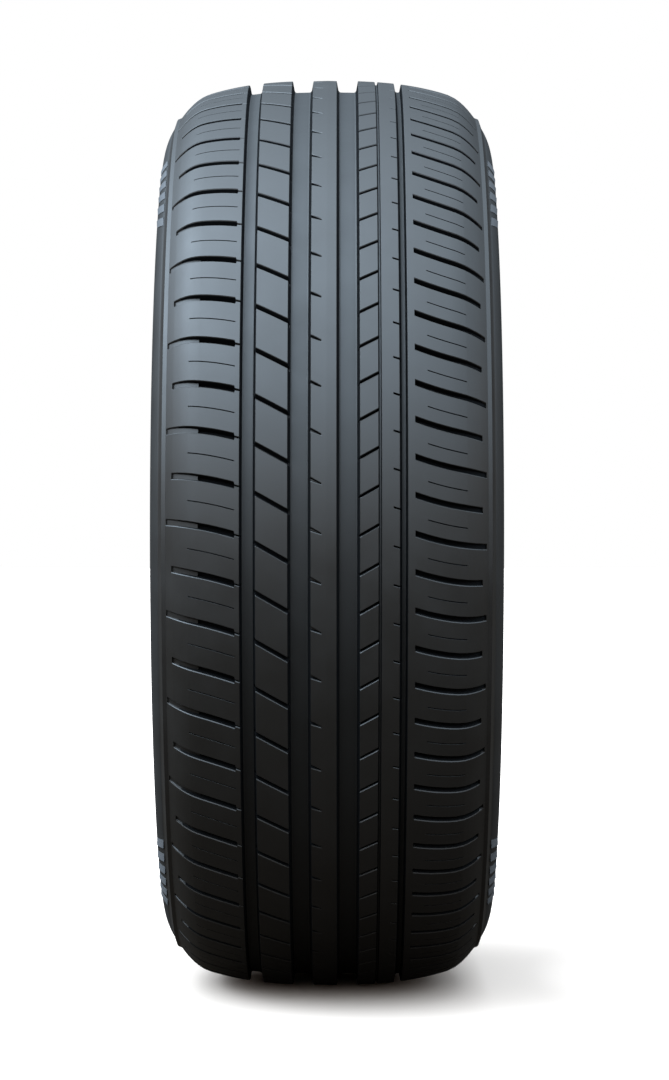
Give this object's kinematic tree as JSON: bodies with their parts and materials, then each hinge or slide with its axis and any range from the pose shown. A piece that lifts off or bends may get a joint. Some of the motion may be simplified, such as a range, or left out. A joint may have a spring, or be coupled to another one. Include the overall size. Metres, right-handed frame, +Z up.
{
  "type": "car tyre",
  "caption": "Unmounted low-profile radial car tyre with an asymmetric ribbed tread, slotted shoulders, open air chamber and tapered bead seats.",
  "frame": {"origin": "wheel centre: on the spin axis, midway between the beads", "axes": "+Y along the spin axis, towards the shoulder that is on the right in the picture; +Z up, away from the flat it rests on; +X out of the pictured side of the tread"},
  "size_m": [0.6342, 0.2248, 0.6329],
  "materials": {
    "tyre": "satin"
  },
  "bodies": {
    "root": {"tyre": "tyre"}
  },
  "joints": []
}
